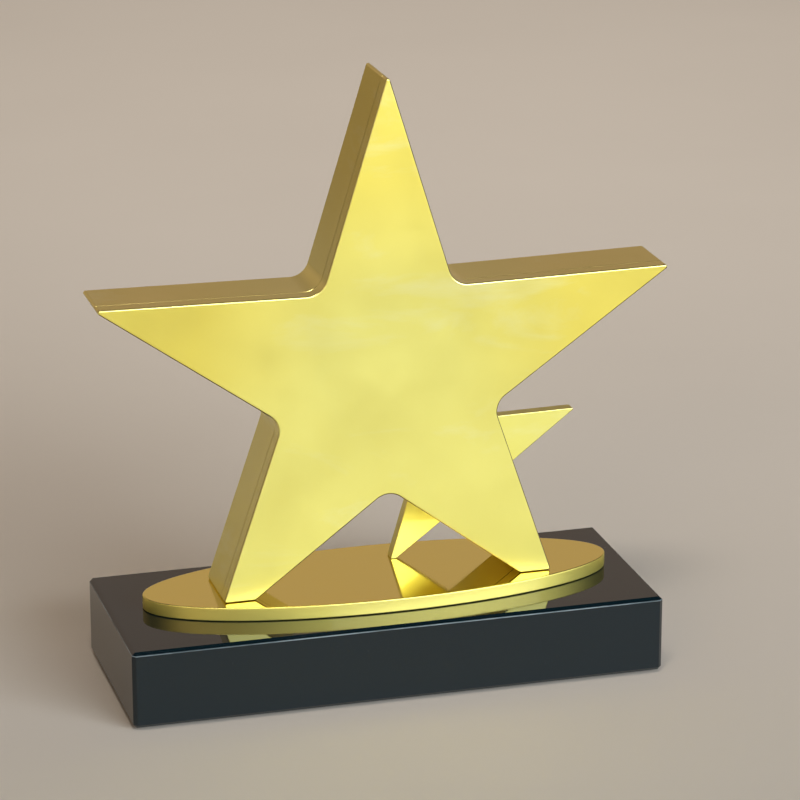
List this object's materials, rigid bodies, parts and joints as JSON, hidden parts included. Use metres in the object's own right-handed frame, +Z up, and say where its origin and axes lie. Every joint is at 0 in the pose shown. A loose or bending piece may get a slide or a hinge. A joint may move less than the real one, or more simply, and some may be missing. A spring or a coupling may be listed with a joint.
{
  "type": "star trophy",
  "caption": "Desk award: a thick gold star and a small flat star behind it, standing on an oval gold plate screwed to a bevelled black block.",
  "frame": {"origin": "on the table, under the middle of the large star and the middle of the block's depth", "axes": "+Z up, the stars' faces look along -Y, and +X is to the right of someone facing the award"},
  "size_m": [0.1824, 0.068, 0.1949],
  "materials": {
    "polished_black": "polished opaque black crystal with bevelled edges",
    "satin_gold": "satin gold plating on cast metal",
    "plate_gold": "bright gold plating, near mirror on top",
    "film_black": "thin black adhesive film",
    "pad_black": "matt soft foam rubber",
    "screw_steel": "zinc plated steel",
    "bond_clear": "thin bonding pad"
  },
  "bodies": {
    "root": {"base_block": "polished_black", "foot_pad_front_left": "pad_black", "foot_pad_front_right": "pad_black", "foot_pad_rear_left": "pad_black", "foot_pad_rear_right": "pad_black", "plate_film": "film_black", "oval_plate": "plate_gold", "star_front_shell": "satin_gold", "star_rear_shell": "satin_gold", "star_foot_block_left": "screw_steel", "star_foot_block_right": "screw_steel", "star_screws": "screw_steel", "base_screws": "screw_steel", "base_washers": "screw_steel", "small_star": "satin_gold", "small_star_bond": "bond_clear", "small_star_screws": "screw_steel"}
  },
  "joints": []
}
